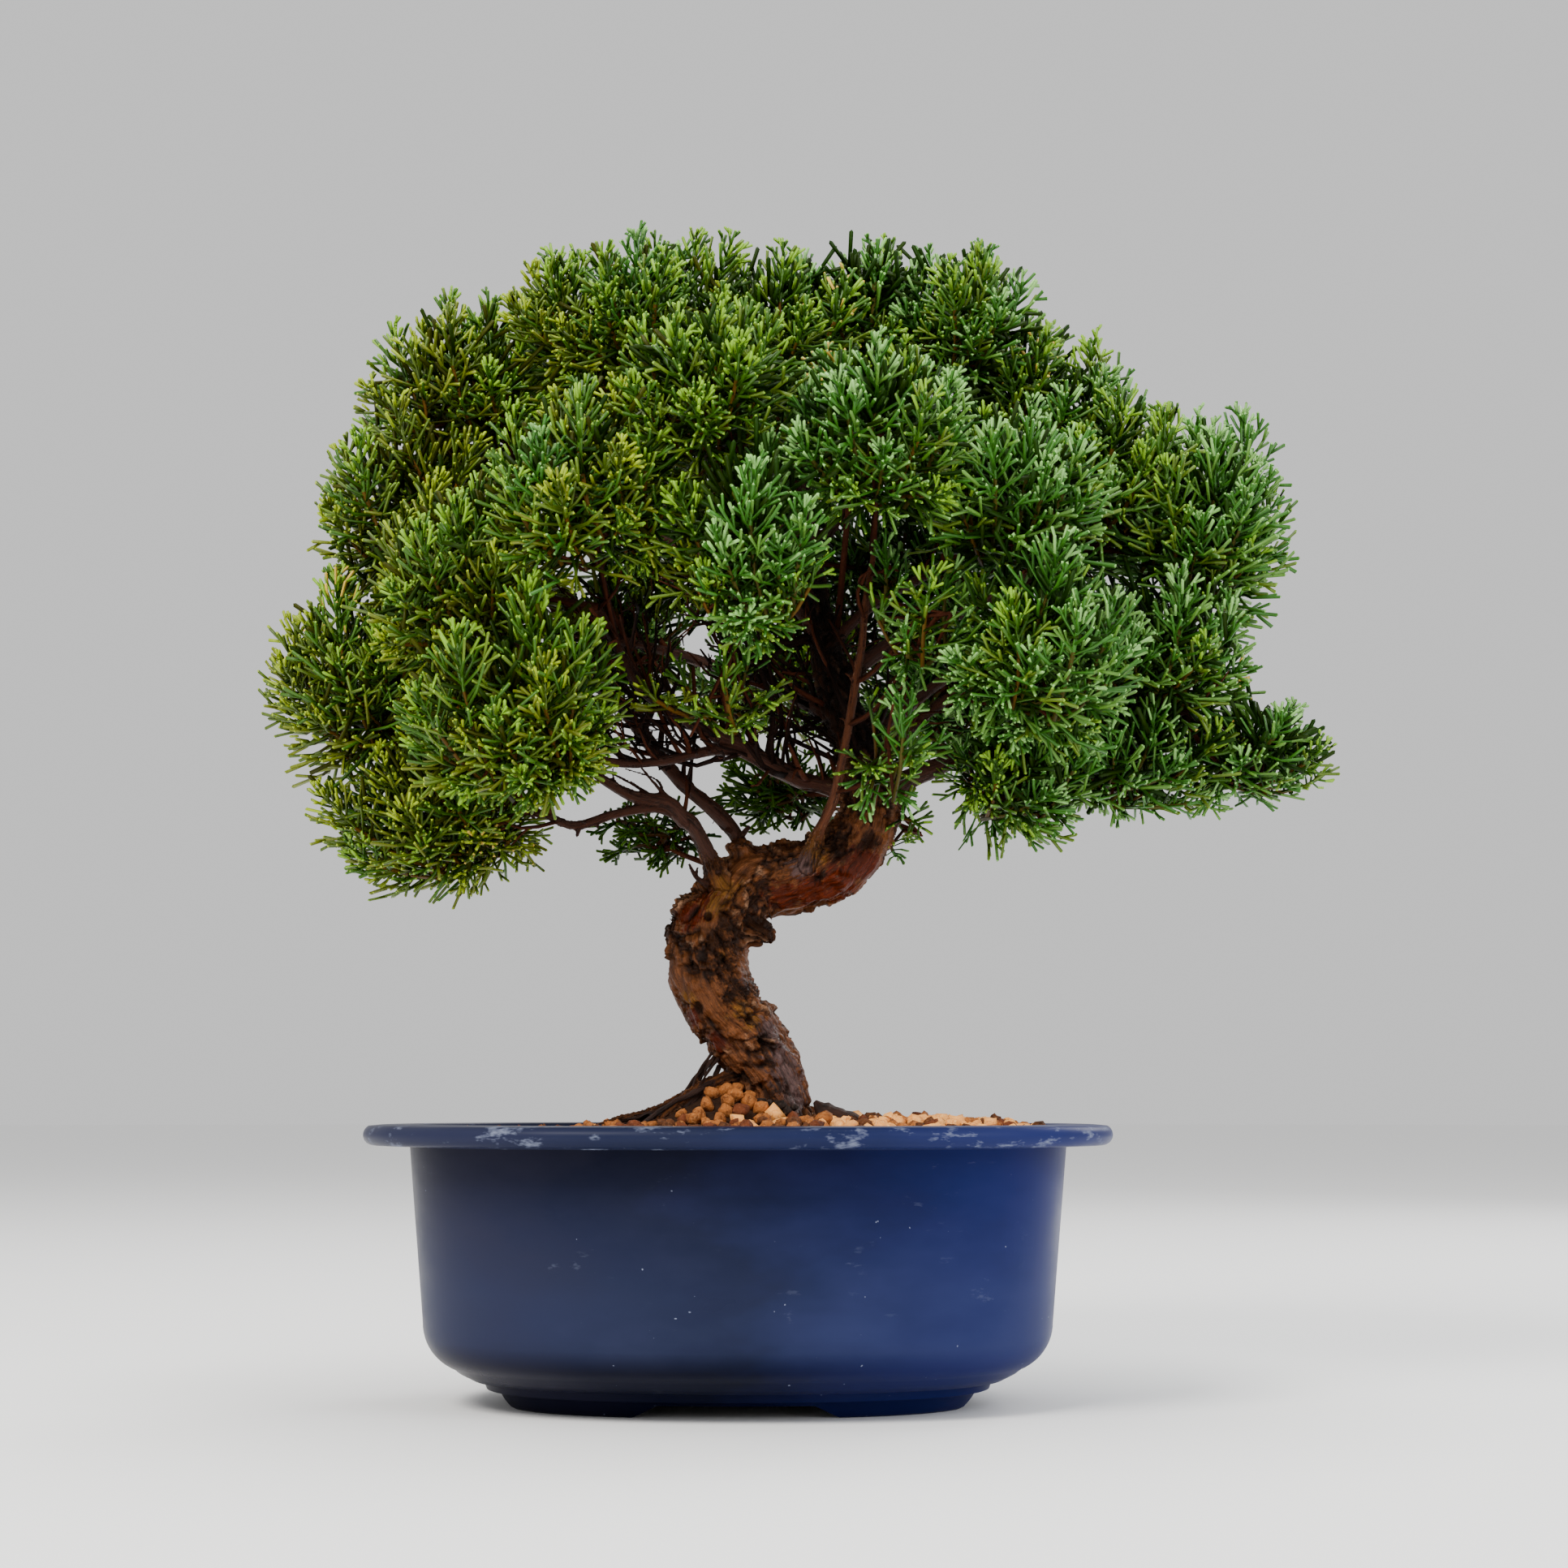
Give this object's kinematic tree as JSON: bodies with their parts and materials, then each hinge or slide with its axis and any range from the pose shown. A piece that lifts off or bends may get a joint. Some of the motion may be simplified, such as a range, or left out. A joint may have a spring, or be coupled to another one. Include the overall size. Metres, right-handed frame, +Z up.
{
  "type": "juniper bonsai in a pot",
  "caption": "Small trained juniper with a curved trunk and a wide, dense crown of scale-leaf foliage, in an oval blue plastic training pot with a rolled lip and feet.",
  "frame": {"origin": "under the middle of the plant's bounding box, on the surface that the pot's feet stand on", "axes": "+Z up, +X to the viewer's right along the pot's length, -Y towards the viewer"},
  "size_m": [0.3122, 0.2132, 0.3542],
  "materials": {
    "pot": "semi-gloss dark blue moulded plastic, lightly scuffed",
    "soil": "dry clay granules, orange-brown with some pale tan",
    "bark": "flaky red-brown bark with dark knots and grey scars",
    "bough": "dull purple-brown bark",
    "foliage": "cord-like twigs of green scale leaves, satin"
  },
  "bodies": {
    "root": {"back_bough": "bough", "back_inner_left": "foliage", "back_inner_middle": "foliage", "back_inner_right": "foliage", "back_left_bough": "bough", "back_left_low": "foliage", "back_left_middle": "foliage", "back_left_pad": "foliage", "back_middle": "foliage", "back_middle_pad": "foliage", "back_middle_right": "foliage", "back_right_bough": "bough", "back_right_low": "foliage", "back_right_middle": "foliage", "back_top_left": "foliage", "back_top_right": "foliage", "centre_front_bough": "bough", "centre_sprig": "foliage", "foot_sprig": "foliage", "front_centre": "foliage", "front_leader": "bough", "front_right_high": "foliage", "front_right_low": "foliage", "front_right_middle": "foliage", "front_sprig": "foliage", "front_top": "foliage", "inner_sprig": "foliage", "left_bough": "bough", "left_front_high": "foliage", "left_front_low": "foliage", "left_front_middle": "foliage", "left_high_bough": "bough", "left_low_bough": "bough", "left_mid_bough": "bough", "left_outer": "foliage", "left_shoulder": "foliage", "left_under": "foliage", "left_upper": "foliage", "left_upper_bough": "bough", "pot": "pot", "right_front_bough": "bough", "right_high": "foliage", "right_high_bough": "bough", "right_low": "foliage", "right_low_bough": "bough", "right_mid_bough": "bough", "right_outer": "foliage", "right_shoulder": "foliage", "right_tip": "foliage", "right_under": "foliage", "right_upper": "foliage", "soil": "soil", "top_left": "foliage", "top_left_bough": "bough", "top_middle": "foliage", "top_peak": "foliage", "top_right": "foliage", "top_right_bough": "bough", "trunk": "bark"}
  },
  "joints": []
}
